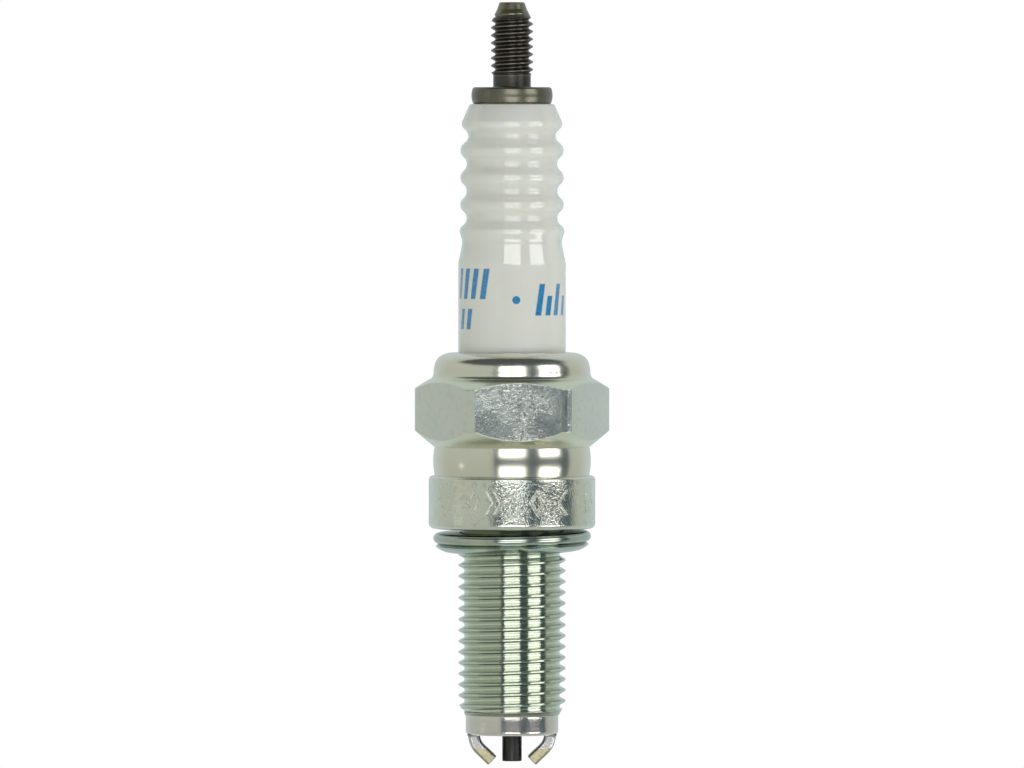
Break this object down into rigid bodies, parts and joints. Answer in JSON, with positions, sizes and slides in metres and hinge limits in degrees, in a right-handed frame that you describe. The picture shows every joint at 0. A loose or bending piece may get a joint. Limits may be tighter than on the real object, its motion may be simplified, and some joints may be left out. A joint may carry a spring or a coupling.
{
  "type": "spark plug",
  "caption": "Resistor spark plug with a threaded terminal stud, ribbed white insulator, hexagon shell with a fine thread, loose crush gasket and side electrodes.",
  "frame": {"origin": "on the plug's axis at the underside of the shell flange, where the mounting thread begins", "axes": "+Z along the plug's axis towards the terminal stud; the two side electrodes lie on the -X and +X sides of the centre electrode"},
  "size_m": [0.018, 0.0166, 0.0703],
  "materials": {
    "stud_steel": "dark oxidised steel, satin",
    "glazed_alumina": "white gloss glaze over alumina",
    "plated_steel": "trivalent zinc-nickel plating, semi-bright",
    "gasket_steel": "zinc plated sheet steel, semi-bright",
    "electrode_nickel": "bare nickel alloy",
    "center_nickel": "dark oxidised nickel alloy",
    "core_copper": "bare copper, hidden",
    "seal_glass": "copper-filled sealing glass, hidden",
    "resistor_mass": "carbon and glass resistor mass, hidden",
    "talc": "pressed talc powder, hidden",
    "ring_steel": "bare steel wire and washer, hidden"
  },
  "bodies": {
    "plug": {"terminal_stud": "stud_steel", "insulator": "glazed_alumina", "metal_shell": "plated_steel", "center_electrode": "center_nickel", "center_electrode_core": "core_copper", "resistor": "resistor_mass", "upper_glass_seal": "seal_glass", "lower_glass_seal": "seal_glass", "talc_packing": "talc", "upper_packing_ring": "ring_steel", "lower_packing_ring": "ring_steel", "inner_seat_washer": "ring_steel", "ground_electrode_left": "electrode_nickel", "ground_electrode_right": "electrode_nickel"},
    "gasket_ring": {"gasket": "gasket_steel"}
  },
  "joints": [
    {"name": "gasket_spin", "type": "hinge", "parent": "plug", "child": "gasket_ring", "pos_m": [0, 0, 0], "axis": [0, 0, 1], "continuous": true}
  ]
}
